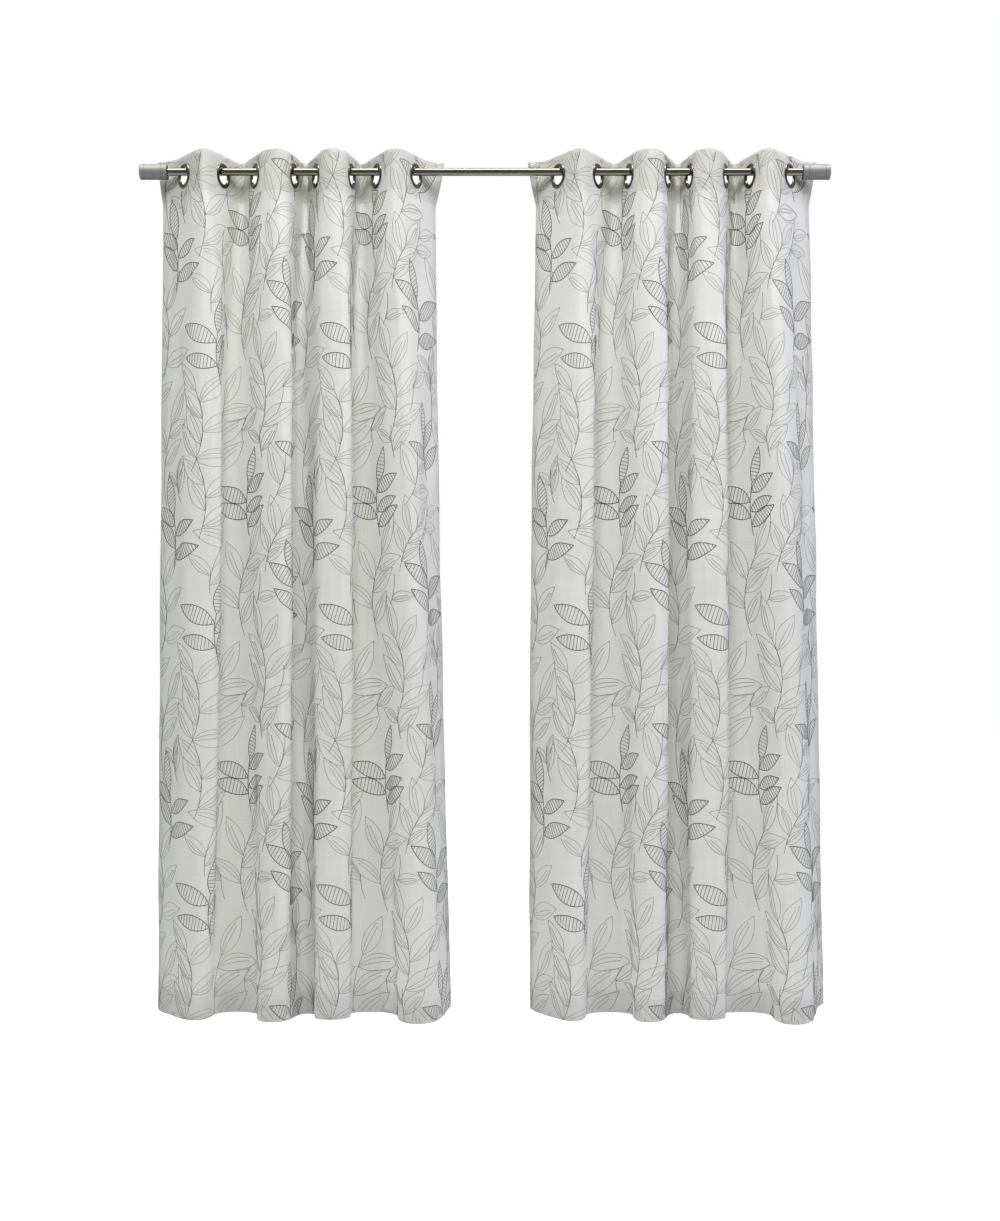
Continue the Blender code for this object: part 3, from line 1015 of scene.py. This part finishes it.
FLOOR_Z = -2.115
FLOOR_REACH = 9.0
FLOOR_FRONT = -1.65  # the floor ends here, as a nearer one would light up the rod's middle
CAMERA = Vector((0.037, -4.0, -1.086))
FOCAL_PIXELS, FRAME_PIXELS = 1614.9, 1221  # down the photograph's frame
SENSOR = 36.0
FAINT_FILL = (0.085, 0.117, 0.060)  # what the surroundings add to the light on the cloth
ROOM_GREY = (0.5, 0.5, 0.45)
SoftLight = namedtuple("SoftLight", "name place energy size colour")
SOFT_LIGHTS = (
    SoftLight("upper", (0, -3.1, 1.4), 239, 1.6, (1, 0.97, 0.942)),
    SoftLight("key", (3.4, -2.4, 0.7), 108, 1.4, (0.81, 0.785, 1)),
    SoftLight("left", (-3.4, -2.4, 0.2), 40, 1.6, (0.86, 0.84, 1)),
)
SOFT_TARGET = (0, 0, -1.0)
STRIP_PLACE = (0, -0.75, 2.9)
STRIP_ENERGY = 640


def add_floor():
    mesh = bpy.data.meshes.new("floor")
    left, right, front, back = -FLOOR_REACH, FLOOR_REACH, FLOOR_FRONT, FLOOR_REACH
    corners = [(left, front, 0), (right, front, 0), (right, back, 0), (left, back, 0)]
    mesh.from_pydata(corners, [], [(0, 1, 2, 3)])
    look = Look("floor_paint", (0.9, 0.9, 0.9), 0.7)
    look.set(look.shader, {"Emission Color": (1, 1, 1, 1)})
    ray = look.add("ShaderNodeLightPath")
    seen = look.add("ShaderNodeMath", operation="MAXIMUM")
    look.link(ray, seen, 0, "Is Camera Ray")
    look.link(ray, seen, 1, "Is Glossy Ray")
    look.link(seen, look.shader, "Emission Strength")
    place = look.add("ShaderNodeTexCoord")
    grain = look.noise(look.stretched(place, (1, 1, 1)), 3, 3)
    look.tint(grain, (0.88, 0.88, 0.88), (0.92, 0.92, 0.92))
    mesh.materials.append(look.material)
    floor = bpy.data.objects.new("floor", mesh)
    floor.location = (0, 0, FLOOR_Z)
    bpy.context.scene.collection.objects.link(floor)


def add_light(name, kind, place, target, energy, **settings):
    data = bpy.data.lights.new(name, kind)
    data.energy = energy
    for setting, value in settings.items():
        setattr(data, setting, value)
    light = bpy.data.objects.new(name, data)
    light.location = place
    aim = Vector(target) - Vector(place)
    light.rotation_euler = aim.to_track_quat("-Z", "Y").to_euler()
    bpy.context.scene.collection.objects.link(light)
    return light


def add_world():
    """White to look at, an even grey room in polished metal, and a faint fill on the cloth."""
    world = bpy.data.worlds.new("studio")
    world.use_nodes = True
    tree = world.node_tree
    tree.nodes.clear()
    ray = tree.nodes.new("ShaderNodeLightPath")
    mixes = []
    for kind, colour in (("Is Glossy Ray", ROOM_GREY), ("Is Camera Ray", (1, 1, 1))):
        mix = tree.nodes.new("ShaderNodeMix")
        mix.data_type = "RGBA"
        mix.inputs[MIX_B].default_value = (*colour, 1)
        tree.links.new(ray.outputs[kind], mix.inputs[MIX_SHARE])
        mixes.append(mix)
    unseen, seen = mixes
    unseen.inputs[MIX_A].default_value = (*FAINT_FILL, 1)
    tree.links.new(unseen.outputs[MIX_RESULT], seen.inputs[MIX_A])
    background = tree.nodes.new("ShaderNodeBackground")
    tree.links.new(seen.outputs[MIX_RESULT], background.inputs["Color"])
    output = tree.nodes.new("ShaderNodeOutputWorld")
    tree.links.new(background.outputs[0], output.inputs[0])
    bpy.context.scene.world = world


def add_camera():
    data = bpy.data.cameras.new("camera")
    data.sensor_width = SENSOR
    data.lens = SENSOR * FOCAL_PIXELS / FRAME_PIXELS
    data.clip_end = 60
    camera = bpy.data.objects.new("camera", data)
    camera.location = CAMERA
    camera.rotation_euler = (math.pi / 2, 0, 0)
    bpy.context.scene.collection.objects.link(camera)
    bpy.context.scene.camera = camera


def add_studio():
    bpy.context.scene.view_settings.view_transform = "Standard"
    add_camera()
    add_world()
    add_floor()
    for soft in SOFT_LIGHTS:
        shape = {"size": soft.size, "color": soft.colour}
        light = add_light(soft.name, "AREA", soft.place, SOFT_TARGET, soft.energy, **shape)
        light.visible_glossy = False  # the metal mirrors the grey room and the strip alone
    shape = {"shape": "RECTANGLE", "size": 6.0, "size_y": 0.8, "color": (1, 1, 0.9)}
    strip = add_light("strip", "AREA", STRIP_PLACE, (0, 0, 0), STRIP_ENERGY, **shape)
    strip.visible_diffuse = False  # it is the long line of light along the rod, and no more


add_studio()
dress_metal()
dress_cloth()
